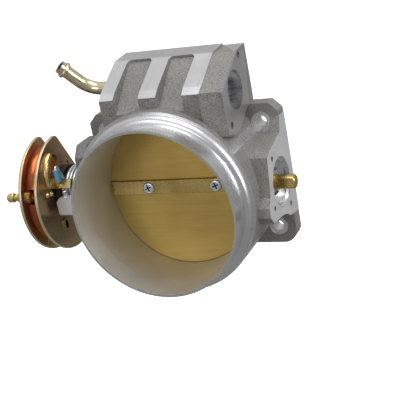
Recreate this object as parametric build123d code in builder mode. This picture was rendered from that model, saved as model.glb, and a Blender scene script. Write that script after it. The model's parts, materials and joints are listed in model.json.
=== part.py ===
"""Cable-driven throttle body for a large V8 intake manifold.

Frame: +X runs along the throttle shaft towards the position-sensor side, +Y runs along the
main bore from the air inlet to the manifold flange, +Z is up (air valve housing on top).
The origin is the centre of the main bore on the flange's mounting face.  Millimetres.
"""
from math import cos, radians, sin
import os

from build123d import *

# ---------------------------------------------------------------- driving dimensions
BORE_R = 51.0               # main air bore
INLET_R = 52.2              # mouth of the bore at the inlet
BODY_LENGTH = 74.0          # inlet face to flange face
COLLAR_R = 53.6             # hose collar
COLLAR_LENGTH = 19.0        # hose collar in front of the shoulder
SHOULDER_R = 59.0           # cast barrel behind the collar
COVE_R = 3.6                # fillet between collar and shoulder
MOUTH_DEPTH = 14.0          # taper from inlet mouth to bore

FLANGE_HALF_X = 65.5
FLANGE_HALF_Z = 46.5
FLANGE_THICK = 10.1
EAR_CHAMFER = 5.5           # upper ear corners
EAR_FILLET = 9.0            # lower ear corners
BOLT_X = 54.0               # half spacing of the manifold bolts
BOLT_Z = 35.0
BOLT_HOLE_R = 3.3
SPOTFACE_R = 6.1            # bolt-head seats and the driver channels in front of them
SPOTFACE_DEPTH = 0.6

OVERCUT = 1.0               # cutters start this far outside the face they cut
THROUGH = 20.0              # cutters that only have to reach open air

SHAFT_Y = -23.3             # throttle shaft axis, at z = 0
SHAFT_R = 5.0
SHAFT_CLEARANCE = 0.06
SHAFT_FLAT = 2.6            # milled flats either side of the plate
SHAFT_FLAT_LENGTH = 100.4
CUTTER_WIDTH = 12.0         # wider than the shaft
CLIP_X = 61.4               # retaining ring in its groove outside the sensor-side bearing
CLIP_THICK = 0.9
CLIP_R = 7.4
CLIP_GROOVE_R = 4.3
CLIP_GAP_ANGLE = 250
CLIP_GAP_WIDTH = 7.0
CLIP_GAP_DEPTH = 3.2
PLATE_TILT = 6.0            # closed plate leans back at its top edge
PLATE_THICK = 2.0
PLATE_HALF_X = 50.85
PLATE_HALF_Z = 51.0
PLATE_SCREW_X = 23.4
PLATE_SCREW_R = 2.0
SLOT_CLEARANCE = 0.05
SHAFT_SLOT_LENGTH = 102.0

BEARING_R = 9.5             # 10 x 19 x 5 deep-groove bearings
BEARING_WIDTH = 5.0
INNER_RACE_R = 6.15
OUTER_RACE_R = 8.35
BALL_R = 1.05
BALL_COUNT = 11
SEAL_THICK = 0.6
SEAL_INSET = 0.2
SEAL_GAP = 0.08

BLOCK_ROOT_X = 30.0         # side blocks start here, inside the barrel's wall
SENSOR_FACE_X = 65.8        # machined pad for the throttle position sensor
SENSOR_RECESS_R = 15.7
SENSOR_RECESS_DEPTH = 1.6
SENSOR_STEP_R = 13.4
BEARING_FACE_X = 61.3       # outer face of the sensor-side bearing
SENSOR_SCREW_R = 21.0       # screw circle about the shaft
SENSOR_SCREW_ANGLES = (119, 209, 299)
SENSOR_SCREW_HOLE_R = 1.65
SENSOR_SCREW_DEPTHS = (12.0, 12.6, 11.4)
BLOCK_WAIST = ((50.0, 0.80), (54.5, 0.82), (58.5, 0.88), (61.2, 0.95), (62.4, 1.0))   # x, scale of the pad outline
BLOCK_CENTRE = (-21.0, 2.0)
D_END_X = 75.0
D_END_START_X = 62.7
D_END_CHAMFER = 0.9
D_FLAT_LENGTH = 11.5
D_END_R = 4.5
D_FLAT = 3.6

TOP_HALF_X = 33.5           # ribbed top housing
TOP_FRONT_Y = -48.0
TOP_CREST_Y = -17.5
RIB_FOOT_Z = 65.5
RIB_TOE_Y = -43.5
RIB_TOE_Z = 69.0
CREST_Z = 82.3
TOP_REAR_Z = 83.4
POCKET_WIDTH = 17.1
POCKET_CENTRES = (-15.35, 13.35)
POCKET_TOP_Y = -17.2
POCKET_TOP_Z = 80.6
POCKET_FLOOR_SLOPE = 38.3
POCKET_DROP = 40.0
POCKET_DRAFT = 1.2          # lean of the pocket's end wall
POCKET_CORNER_R = 3.0

VALVE_FACE_X = 48.5         # idle air valve pad at the right end of the top housing
VALVE_CAST_X = 47.5
VALVE_Y = -29.4
VALVE_Z = 61.5
VALVE_BORE_R = 11.8
VALVE_BORE_DEPTH = 11.0
VALVE_CHAMBER_R = 8.6        # chamber the intake air reaches first
VALVE_CHAMBER_DEPTH = 22.0
VALVE_SEAT_R = 5.0           # seat the valve's pintle closes
VALVE_PASSAGE_DEPTH = 36.0
VALVE_SCREW_Y = 13.8        # half offsets of the two valve screws
VALVE_SCREW_Z = 17.5
VALVE_SCREW_HOLE_R = 2.1
VALVE_SCREW_DEPTH = 14.0
BYPASS_R = 4.0              # ports from the valve passage into the bore, either side of the plate
INLET_PORT_X = 31.5
OUTLET_PORT_X = 18.0
PORT_LENGTH = 26.0

PIPE_R = 4.2                # vacuum hose pipe at the left end of the top housing
PIPE_BORE_R = 3.2
PIPE_START = (-TOP_HALF_X, -14, 64.6)
PIPE_BEND = (-57.5, -14, 65.4)
PIPE_END = (-69.5, -24, 83.8)
PIPE_BEND_R = 16.0
PIPE_LAND_R = 4.3           # round land at the open end
PIPE_LAND_PROUD = 0.2
PIPE_MIDDLE_R = 3.75
PIPE_PASSAGE_DEPTH = 24.0
PIPE_BEAD_R = 5.5
PIPE_BEAD_BACK = 5.0        # back of the rolled bead from the open end
PIPE_BEAD_WIDTH = 2.6
PIPE_BEAD_ROUND = 1.1

LEFT_WALL_X = -67.0         # pulley-side bearing housing
HUB_X = -80.4
HUB_R = 12.0
LEFT_BEARING_X = -79.2      # outer face of the pulley-side bearing

PULLEY_R = 39.3
PLATE_SHEET = 2.2           # sheet metal of the two pulley side plates
INNER_PLATE_X = -85.0       # face towards the body
DRUM_X = INNER_PLATE_X - PLATE_SHEET
DRUM_WIDTH = 9.6
OUTER_PLATE_X = DRUM_X - DRUM_WIDTH
OUTER_FACE_X = OUTER_PLATE_X - PLATE_SHEET
DRUM_R = 30.5
DRUM_FLARE = 2.6
CHORD_DISTANCE = 20.0       # straight cut across both side plates
CHORD_ANGLE = 30.5
CHORD_CORNER_R = 6.0
RIM_ROUND = 0.7
HUB_END_R = 4.0             # shaft end under the pulley
HUB_END_FLAT = 3.2
HUB_END_LENGTH = 7.4
HUB_CUTTER = 20.0

TAB_ANGLE = 148.0           # bent throttle-stop tab
TAB_RADIUS = 18.9
TAB_THICK = 2.2
TAB_WIDTH = 6.2
TAB_END_X = -71.0

SPRING_R = 15.8
WIRE_R = 1.1
SPRING_START_X = -70.8
SPRING_PITCH = 2.55
SPRING_TURNS = 3.5

STOP_X = -75.5              # idle stop boss and screw
STOP_Y = SHAFT_Y - 19.9
STOP_TIP_Z = 7.2
STOP_BOSS_FRONT = 47.0
STOP_BOSS_DEPTH = 6.5
STOP_THREAD_R = 2.0
STOP_THREAD_CLEARANCE = 0.05
OPEN_ANGLE = 84.0           # travel from closed to wide open
LUG_RADIUS = 17.4           # wide-open stop lug the tab comes to
LUG_HEIGHT = 7.2
LUG_WIDTH = 5.6
LUG_GAP = 0.4
LUG_REACH = 8.5

os.makedirs("parts", exist_ok=True)


def save(piece, name):
    """Label a finished piece and write it under its node name."""
    piece.part.label = name
    export_step(piece.part, f"parts/{name}.step")


def around_shaft(x):
    """Plane across the shaft at x: local X is +Y of the frame, local Y is +Z."""
    return Plane(origin=(x, SHAFT_Y, 0), x_dir=(0, 1, 0), z_dir=(1, 0, 0))


def side(x):
    """Plane across the shaft at x with its origin on the bore axis at the flange."""
    return Plane(origin=(x, 0, 0), x_dir=(0, 1, 0), z_dir=(1, 0, 0))


def polar(radius, angle):
    """Point on a circle about the shaft, in the local axes of around_shaft."""
    return (radius * cos(radians(angle)), radius * sin(radians(angle)))


def shrunk(outline, scale):
    """Outline scaled about the middle of the sensor pad."""
    centre_y, centre_z = BLOCK_CENTRE
    return [(centre_y + (y - centre_y) * scale, centre_z + (z - centre_z) * scale) for y, z in outline]


# ---------------------------------------------------------------- throttle housing
SHOULDER_Y = COLLAR_LENGTH - BODY_LENGTH
POCKET_RUN = POCKET_DROP / sin(radians(POCKET_FLOOR_SLOPE)) * cos(radians(POCKET_FLOOR_SLOPE))

with BuildPart() as pocket_tool:
    # wedge that leaves a cast floor running down to the barrel between two ribs
    with BuildSketch(side(0)):
        with BuildLine():
            Polyline(
                (POCKET_TOP_Y, POCKET_TOP_Z),
                (POCKET_TOP_Y - POCKET_RUN, POCKET_TOP_Z - POCKET_DROP),
                (POCKET_TOP_Y - POCKET_RUN - 10, POCKET_TOP_Z - POCKET_DROP),
                (POCKET_TOP_Y - POCKET_RUN - 10, POCKET_TOP_Z + 10),
                (POCKET_TOP_Y - POCKET_DRAFT, POCKET_TOP_Z + 10),
                close=True,
            )
        make_face()
    extrude(amount=POCKET_WIDTH / 2, both=True)
    top_corners = pocket_tool.edges().filter_by(Axis.Z, tolerance=8).group_by(Axis.Y)[-1]
    fillet(top_corners, POCKET_CORNER_R)

SENSOR_PAD = [
    (0, 38), (0, -26.7), (-5.2, -27), (-16.4, -25.2), (-22.1, -21.8), (-27.4, -20.0),
    (-35.9, -18.5), (-46.4, -17.7), (-51.1, -12.5), (-50.2, -7.0), (-46.0, -1.5), (-44.0, 8.0),
    (-41.4, 22.0), (-34.7, 24.5), (-13.2, 28.7), (-10.1, 38),
]
VALVE_CAST = [
    (-49.5, 66.2), (TOP_CREST_Y, 81.6), (0, 82.4), (0, 47.0), (-11.5, 45.5), (-37.0, 34.0), (-50.6, 39.5),
]
VALVE_PAD = [
    (-50.2, 66.0), (-17.5, 81.6), (-4.0, 78.8), (-11.5, 47.5), (-37.0, 35.5), (-50.2, 40.2),
]

LEFT_CAST = [(-2, -22), (-2, 28), (-12, 33), (-30, 33), (-36, 26), (-36, -14), (-30, -22)]
STOP_BOSS = [(-55, 3.0), (-78.6, 3.0), (-81.0, 0.2), (-81.0, -7.6), (-80.2, -8.6), (-55, -8.6)]

with BuildPart() as housing:
    # top housing with its machined slope, before the barrel swallows its lower part
    with BuildSketch(side(-TOP_HALF_X)):
        with BuildLine():
            Polyline(
                (0, 30), (0, TOP_REAR_Z), (TOP_CREST_Y, CREST_Z), (RIB_TOE_Y, RIB_TOE_Z),
                (TOP_FRONT_Y, RIB_FOOT_Z), (TOP_FRONT_Y, 30), close=True,
            )
        make_face()
    extrude(amount=2 * TOP_HALF_X)
    with Locations(*[(centre_x, 0, 0) for centre_x in POCKET_CENTRES]):
        add(pocket_tool.part, mode=Mode.SUBTRACT)
    # air valve housing at the right end, with a pad standing 1 mm proud
    with BuildSketch(side(TOP_HALF_X)):
        Polygon(*VALVE_CAST, align=None)
    extrude(amount=VALVE_CAST_X - TOP_HALF_X)
    with BuildSketch(side(VALVE_CAST_X)):
        Polygon(*VALVE_PAD, align=None)
    extrude(amount=VALVE_FACE_X - VALVE_CAST_X)
    # barrel, shoulder and hose collar
    with BuildSketch(Plane.XY):
        with BuildLine():
            Polyline(
                (0, 0), (SHOULDER_R, 0), (SHOULDER_R, SHOULDER_Y), (COLLAR_R + COVE_R, SHOULDER_Y),
            )
            RadiusArc(
                (COLLAR_R + COVE_R, SHOULDER_Y), (COLLAR_R, SHOULDER_Y - COVE_R), COVE_R,
            )
            Polyline(
                (COLLAR_R, SHOULDER_Y - COVE_R), (COLLAR_R, -BODY_LENGTH), (0, -BODY_LENGTH), (0, 0),
            )
        make_face()
    revolve(axis=Axis.Y)
    # manifold flange
    with BuildSketch(Plane.XZ) as flange_outline:
        Rectangle(2 * FLANGE_HALF_X, 2 * FLANGE_HALF_Z)
        chamfer(flange_outline.vertices().group_by(Axis.Y)[-1], EAR_CHAMFER)
        fillet(flange_outline.vertices().group_by(Axis.Y)[0], EAR_FILLET)
    extrude(amount=FLANGE_THICK)
    # sensor-side bearing housing and pad
    with BuildSketch(side(BLOCK_WAIST[-1][0])):
        Polygon(*SENSOR_PAD, align=None)
    extrude(amount=SENSOR_FACE_X - BLOCK_WAIST[-1][0])
    with BuildSketch(side(BLOCK_ROOT_X)):
        Polygon(*shrunk(SENSOR_PAD, BLOCK_WAIST[0][1]), align=None)
    extrude(amount=BLOCK_WAIST[0][0] - BLOCK_ROOT_X)
    for (near_x, near_scale), (far_x, far_scale) in zip(BLOCK_WAIST, BLOCK_WAIST[1:]):
        with BuildSketch(side(near_x)) as near_outline:
            Polygon(*shrunk(SENSOR_PAD, near_scale), align=None)
        with BuildSketch(side(far_x)) as far_outline:
            Polygon(*shrunk(SENSOR_PAD, far_scale), align=None)
        loft(sections=[near_outline.sketch, far_outline.sketch], ruled=True)
    # pulley-side bearing housing, hub, idle stop boss and wide-open stop lug
    with BuildSketch(side(-BLOCK_ROOT_X)):
        Polygon(*LEFT_CAST, align=None)
    extrude(amount=LEFT_WALL_X + BLOCK_ROOT_X)
    with BuildSketch(around_shaft(LEFT_WALL_X + OVERCUT)):
        Circle(HUB_R)
    extrude(amount=HUB_X - LEFT_WALL_X - OVERCUT)
    with BuildSketch(Plane.XZ.offset(STOP_BOSS_FRONT)):
        Polygon(*STOP_BOSS, align=None)
    extrude(amount=-STOP_BOSS_DEPTH)
    with BuildSketch(around_shaft(LEFT_WALL_X + OVERCUT)):
        with Locations(Location((0, 0), TAB_ANGLE - OPEN_ANGLE)):
            with Locations((LUG_RADIUS + LUG_HEIGHT / 2, -TAB_WIDTH / 2 - LUG_GAP - LUG_WIDTH / 2)):
                Rectangle(LUG_HEIGHT, LUG_WIDTH)
    extrude(amount=-LUG_REACH)
    # main bore with a tapered mouth
    with BuildSketch(Plane.XY):
        with BuildLine():
            Polyline(
                (0, OVERCUT), (BORE_R, OVERCUT), (BORE_R, MOUTH_DEPTH - BODY_LENGTH),
                (INLET_R, -BODY_LENGTH), (INLET_R, -BODY_LENGTH - OVERCUT), (0, -BODY_LENGTH - OVERCUT),
                close=True,
            )
        make_face()
    revolve(axis=Axis.Y, mode=Mode.SUBTRACT)
    # bolt holes, spotfaces and the channels a driver reaches them through
    with BuildSketch(Plane.XZ.offset(-OVERCUT)):
        with GridLocations(2 * BOLT_X, 2 * BOLT_Z, 2, 2):
            Circle(BOLT_HOLE_R)
    extrude(amount=FLANGE_THICK + 2 * OVERCUT, mode=Mode.SUBTRACT)
    with BuildSketch(Plane.XZ.offset(FLANGE_THICK - SPOTFACE_DEPTH)):
        with GridLocations(2 * BOLT_X, 2 * BOLT_Z, 2, 2):
            Circle(SPOTFACE_R)
    extrude(amount=BODY_LENGTH, mode=Mode.SUBTRACT)
    # shaft bore, bearing seats and sensor recess
    with BuildSketch(around_shaft(HUB_X - OVERCUT)):
        Circle(SHAFT_R + SHAFT_CLEARANCE)
    extrude(amount=SENSOR_FACE_X - HUB_X + 2 * OVERCUT, mode=Mode.SUBTRACT)
    with BuildSketch(around_shaft(BEARING_FACE_X - BEARING_WIDTH)):
        Circle(BEARING_R)
    extrude(amount=THROUGH, mode=Mode.SUBTRACT)
    with BuildSketch(around_shaft(BEARING_FACE_X)):
        Circle(SENSOR_STEP_R)
    extrude(amount=THROUGH, mode=Mode.SUBTRACT)
    with BuildSketch(around_shaft(SENSOR_FACE_X - SENSOR_RECESS_DEPTH)):
        Circle(SENSOR_RECESS_R)
    extrude(amount=THROUGH, mode=Mode.SUBTRACT)
    with BuildSketch(around_shaft(LEFT_BEARING_X + BEARING_WIDTH)):
        Circle(BEARING_R)
    extrude(amount=-THROUGH, mode=Mode.SUBTRACT)
    # sensor screw holes
    for angle, depth in zip(SENSOR_SCREW_ANGLES, SENSOR_SCREW_DEPTHS):
        with BuildSketch(around_shaft(SENSOR_FACE_X - depth)):
            with Locations(polar(SENSOR_SCREW_R, angle)):
                Circle(SENSOR_SCREW_HOLE_R)
        extrude(amount=depth + OVERCUT, mode=Mode.SUBTRACT)
    # air valve bore, seat, passage and its two ports into the main bore
    with BuildSketch(side(VALVE_FACE_X - VALVE_BORE_DEPTH)):
        with Locations((VALVE_Y, VALVE_Z)):
            Circle(VALVE_BORE_R)
    extrude(amount=VALVE_BORE_DEPTH + OVERCUT, mode=Mode.SUBTRACT)
    with BuildSketch(side(VALVE_FACE_X - VALVE_CHAMBER_DEPTH)):
        with Locations((VALVE_Y, VALVE_Z)):
            Circle(VALVE_CHAMBER_R)
    extrude(amount=VALVE_CHAMBER_DEPTH, mode=Mode.SUBTRACT)
    with BuildSketch(side(VALVE_FACE_X - VALVE_PASSAGE_DEPTH)):
        with Locations((VALVE_Y, VALVE_Z)):
            Circle(VALVE_SEAT_R)
    extrude(amount=VALVE_PASSAGE_DEPTH, mode=Mode.SUBTRACT)
    with BuildSketch(side(VALVE_FACE_X - VALVE_SCREW_DEPTH)):
        with Locations(
            (VALVE_Y + VALVE_SCREW_Y, VALVE_Z + VALVE_SCREW_Z),
            (VALVE_Y - VALVE_SCREW_Y, VALVE_Z - VALVE_SCREW_Z),
        ):
            Circle(VALVE_SCREW_HOLE_R)
    extrude(amount=VALVE_SCREW_DEPTH + OVERCUT, mode=Mode.SUBTRACT)
    for port_x, port_slope in ((INLET_PORT_X, (0, -0.3, -1)), (OUTLET_PORT_X, (0, 1.35, -1))):
        with BuildSketch(Plane(origin=(port_x, VALVE_Y, VALVE_Z), z_dir=port_slope)):
            Circle(BYPASS_R)
        extrude(amount=PORT_LENGTH, mode=Mode.SUBTRACT)
    # vacuum pipe passage from the left end of the top housing
    with BuildSketch(side(-TOP_HALF_X - OVERCUT)):
        with Locations((PIPE_START[1], PIPE_START[2])):
            Circle(PIPE_BORE_R)
    extrude(amount=PIPE_PASSAGE_DEPTH, mode=Mode.SUBTRACT)
    # idle stop screw thread
    with BuildSketch(Plane.XY.offset(-THROUGH / 2)):
        with Locations((STOP_X, STOP_Y)):
            Circle(STOP_THREAD_R + STOP_THREAD_CLEARANCE)
    extrude(amount=THROUGH, mode=Mode.SUBTRACT)
save(housing, "throttle_housing")


# ---------------------------------------------------------------- hose pipe
pipe_axis = (Vector(PIPE_END) - Vector(PIPE_BEND)).normalized()


with BuildPart() as hose_pipe:
    with BuildLine() as pipe_path:
        FilletPolyline(PIPE_START, PIPE_BEND, PIPE_END, radius=PIPE_BEND_R)
    with BuildSketch(Plane(origin=PIPE_START, z_dir=(-1, 0, 0))):
        Circle(PIPE_R)
        Circle(PIPE_BORE_R, mode=Mode.SUBTRACT)
    sweep(path=pipe_path.line)
    # rolled bead just behind the open end, and the round land in front of it
    with BuildSketch(Plane(origin=Vector(PIPE_END) - pipe_axis * PIPE_BEAD_BACK, z_dir=pipe_axis)):
        Circle(PIPE_LAND_R)
        Circle(PIPE_MIDDLE_R, mode=Mode.SUBTRACT)
    extrude(amount=PIPE_BEAD_BACK + PIPE_LAND_PROUD)
    with BuildSketch(Plane(origin=Vector(PIPE_END) - pipe_axis * PIPE_BEAD_BACK, z_dir=pipe_axis)):
        Circle(PIPE_BEAD_R)
        Circle(PIPE_MIDDLE_R, mode=Mode.SUBTRACT)
    extrude(amount=PIPE_BEAD_WIDTH)
    bead_rims = hose_pipe.edges().filter_by(
        lambda edge: edge.geom_type == GeomType.CIRCLE and abs(edge.radius - PIPE_BEAD_R) < 0.01
    )
    fillet(bead_rims, PIPE_BEAD_ROUND)
save(hose_pipe, "hose_pipe")


# ---------------------------------------------------------------- ball bearings
def make_bearing(label, outer_face_x, outward):
    """Outer race, inner race, balls and outward shield of one shaft bearing."""
    back_x = outer_face_x - outward * BEARING_WIDTH
    with BuildPart() as outer_race:
        with BuildSketch(around_shaft(back_x)):
            Circle(BEARING_R)
            Circle(OUTER_RACE_R, mode=Mode.SUBTRACT)
        extrude(amount=outward * BEARING_WIDTH)
    save(outer_race, f"{label}_bearing_outer_race")
    with BuildPart() as inner_race:
        with BuildSketch(around_shaft(back_x)):
            Circle(INNER_RACE_R)
            Circle(SHAFT_R, mode=Mode.SUBTRACT)
        extrude(amount=outward * BEARING_WIDTH)
    save(inner_race, f"{label}_bearing_inner_race")
    with BuildPart() as balls:
        with Locations(around_shaft(back_x + outward * BEARING_WIDTH / 2)):
            with PolarLocations((INNER_RACE_R + OUTER_RACE_R) / 2, BALL_COUNT):
                Sphere(BALL_R)
    save(balls, f"{label}_bearing_balls")
    with BuildPart() as seal:
        with BuildSketch(around_shaft(outer_face_x - outward * (SEAL_THICK + SEAL_INSET))):
            Circle(OUTER_RACE_R)
            Circle(INNER_RACE_R + SEAL_GAP, mode=Mode.SUBTRACT)
        extrude(amount=outward * SEAL_THICK)
    save(seal, f"{label}_bearing_seal")


make_bearing("sensor_side", BEARING_FACE_X, 1)
make_bearing("pulley_side", LEFT_BEARING_X, -1)


# ---------------------------------------------------------------- shaft, plate and screws
plate_plane = Plane(
    origin=(0, SHAFT_Y, 0),
    x_dir=(1, 0, 0),
    z_dir=(0, -cos(radians(PLATE_TILT)), sin(radians(PLATE_TILT))),
)
HUB_END_X = OUTER_FACE_X - HUB_END_LENGTH

with BuildPart() as throttle_shaft:
    with BuildSketch(around_shaft(INNER_PLATE_X)):
        Circle(SHAFT_R)
    extrude(amount=D_END_START_X - INNER_PLATE_X)
    with BuildSketch(around_shaft(D_END_START_X)):
        Circle(D_END_R)
    extrude(amount=D_END_X - D_END_START_X)
    chamfer(throttle_shaft.edges().group_by(Axis.X)[-1], D_END_CHAMFER)
    # drive flat for the position sensor
    with BuildSketch(plate_plane.offset(D_FLAT)):
        with Locations((D_END_X + OVERCUT - D_FLAT_LENGTH / 2, 0)):
            Rectangle(D_FLAT_LENGTH, CUTTER_WIDTH)
    extrude(amount=D_END_R, mode=Mode.SUBTRACT)
    # threaded end with two flats that key the pulley
    with BuildSketch(around_shaft(HUB_END_X)):
        Circle(HUB_END_R)
    extrude(amount=INNER_PLATE_X - HUB_END_X)
    with BuildSketch(around_shaft(OUTER_FACE_X)):
        Rectangle(HUB_CUTTER, HUB_CUTTER)
        Rectangle(HUB_CUTTER, 2 * HUB_END_FLAT, mode=Mode.SUBTRACT)
    extrude(amount=INNER_PLATE_X - OUTER_FACE_X, mode=Mode.SUBTRACT)
    # flats and slot for the throttle plate
    with BuildSketch(plate_plane.offset(SHAFT_FLAT)):
        Rectangle(SHAFT_FLAT_LENGTH, CUTTER_WIDTH)
    extrude(amount=SHAFT_R, mode=Mode.SUBTRACT)
    with BuildSketch(plate_plane.offset(-SHAFT_FLAT)):
        Rectangle(SHAFT_FLAT_LENGTH, CUTTER_WIDTH)
    extrude(amount=-SHAFT_R, mode=Mode.SUBTRACT)
    with BuildSketch(plate_plane.offset(-PLATE_THICK / 2 - SLOT_CLEARANCE)):
        Rectangle(SHAFT_SLOT_LENGTH, CUTTER_WIDTH)
    extrude(amount=PLATE_THICK + 2 * SLOT_CLEARANCE, mode=Mode.SUBTRACT)
    # groove for the retaining clip
    with BuildSketch(around_shaft(CLIP_X)):
        Circle(SHAFT_R + OVERCUT)
        Circle(CLIP_GROOVE_R, mode=Mode.SUBTRACT)
    extrude(amount=CLIP_THICK, mode=Mode.SUBTRACT)
    with BuildSketch(plate_plane.offset(-SHAFT_R)):
        with Locations((-PLATE_SCREW_X, 0), (PLATE_SCREW_X, 0)):
            Circle(PLATE_SCREW_R)
    extrude(amount=2 * SHAFT_R, mode=Mode.SUBTRACT)
save(throttle_shaft, "throttle_shaft")

with BuildPart() as throttle_plate:
    with BuildSketch(plate_plane.offset(-PLATE_THICK / 2)):
        Ellipse(PLATE_HALF_X, PLATE_HALF_Z)
        with Locations((-PLATE_SCREW_X, 0), (PLATE_SCREW_X, 0)):
            Circle(PLATE_SCREW_R, mode=Mode.SUBTRACT)
    extrude(amount=PLATE_THICK)
save(throttle_plate, "throttle_plate")

SCREW_HEAD_R = 3.85
SCREW_HEAD_HEIGHT = 1.9
SCREW_HEAD_ROUND = 1.2
SCREW_TAIL = 0.8            # staked end behind the shaft
RECESS_LENGTH = 4.4
RECESS_WIDTH = 0.9
RECESS_DEPTH = 1.3
RECESS_ANGLE = 20

with BuildPart() as plate_screws:
    with BuildSketch(plate_plane.offset(-SHAFT_FLAT - SCREW_TAIL)):
        with Locations((-PLATE_SCREW_X, 0), (PLATE_SCREW_X, 0)):
            Circle(PLATE_SCREW_R)
    extrude(amount=2 * SHAFT_FLAT + SCREW_TAIL)
    with BuildSketch(plate_plane.offset(SHAFT_FLAT)):
        with Locations((-PLATE_SCREW_X, 0), (PLATE_SCREW_X, 0)):
            Circle(SCREW_HEAD_R)
    extrude(amount=SCREW_HEAD_HEIGHT)
    head_rims = plate_screws.edges().filter_by(
        lambda edge: edge.geom_type == GeomType.CIRCLE and abs(edge.radius - SCREW_HEAD_R) < 0.01
    ).group_by(Axis.Y)[0]
    fillet(head_rims, SCREW_HEAD_ROUND)
    # cross recess
    with BuildSketch(plate_plane.offset(SHAFT_FLAT + SCREW_HEAD_HEIGHT - RECESS_DEPTH)):
        with Locations((-PLATE_SCREW_X, 0), (PLATE_SCREW_X, 0)):
            Rectangle(RECESS_LENGTH, RECESS_WIDTH, rotation=RECESS_ANGLE)
            Rectangle(RECESS_WIDTH, RECESS_LENGTH, rotation=RECESS_ANGLE)
    extrude(amount=RECESS_DEPTH + OVERCUT, mode=Mode.SUBTRACT)
save(plate_screws, "throttle_plate_screws")

with BuildPart() as shaft_clip:
    # external retaining ring outside the sensor-side bearing
    with BuildSketch(around_shaft(CLIP_X)):
        Circle(CLIP_R)
        Circle(CLIP_GROOVE_R, mode=Mode.SUBTRACT)
        with Locations(Location((0, 0), CLIP_GAP_ANGLE)):
            with Locations((CLIP_R - OVERCUT, 0)):
                Rectangle(CLIP_GAP_DEPTH, CLIP_GAP_WIDTH, mode=Mode.SUBTRACT)
    extrude(amount=CLIP_THICK)
save(shaft_clip, "shaft_retaining_clip")


# ---------------------------------------------------------------- cable pulley
def pulley_profile(x):
    """Disc about the shaft with the straight cut that both side plates share."""
    with BuildSketch(around_shaft(x)) as profile:
        Circle(PULLEY_R)
        with Locations(Location((0, 0), CHORD_ANGLE)):
            with Locations((CHORD_DISTANCE + PULLEY_R, 0)):
                Rectangle(2 * PULLEY_R, 4 * PULLEY_R, mode=Mode.SUBTRACT)
        fillet(profile.vertices(), CHORD_CORNER_R)
    return profile.sketch


def key_profile(x):
    """Double-D outline of the shaft's threaded end."""
    with BuildSketch(around_shaft(x)) as profile:
        Circle(HUB_END_R)
        with Locations((0, HUB_END_FLAT + HUB_CUTTER / 2), (0, -HUB_END_FLAT - HUB_CUTTER / 2)):
            Rectangle(HUB_CUTTER, HUB_CUTTER, mode=Mode.SUBTRACT)
    return profile.sketch


RIVET_R = 1.6
RIVET_CIRCLE = 26.0
RIVET_ANGLES = (285, 335)
RIVET_HEAD_R = 2.7
RIVET_HEAD_HEIGHT = 1.2
RIVET_HEAD_TAPER = 35
BEAD_CENTRES = ((-25.8, 6.2), (-21.0, 5.3))     # two small rivets beside the stud
BEAD_R = 0.9
BEAD_HEAD_R = 1.7
STUD_CIRCLE = 30.2
STUD_ANGLE = 167
STUD_SHANK_R = 2.5
STUD_SEAT_R = 4.9           # room for the stud's swaged end
WINDOW_CENTRE = (TAB_RADIUS + 1.6, -11.3)
WINDOW_WIDTH = 6.0
WINDOW_LENGTH = 16.0
WINDOW_CORNER_R = 1.4
LIP_R = 2.4                 # drawn lip along the outer side of the window
LIP_X = INNER_PLATE_X + 0.6
LIP_POINTS = ((-14.2, 29.0), (-22.2, 21.6), (-22.6, 12.2))
SLOT_CENTRE = (-13.0, -19.5)
SLOT_LIP = (8.8, 6.6)
SLOT_HOLE = (6.2, 3.4)
SLOT_LIP_HEIGHT = 1.0
SLOT_ANGLE = 92
PILOT_CENTRE = (6.4, 17.6)
PILOT_R = 1.1
NOTCH_ANGLE = -124.5
NOTCH_LENGTH = 18.0
NOTCH_WIDTH = 1.8

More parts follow.
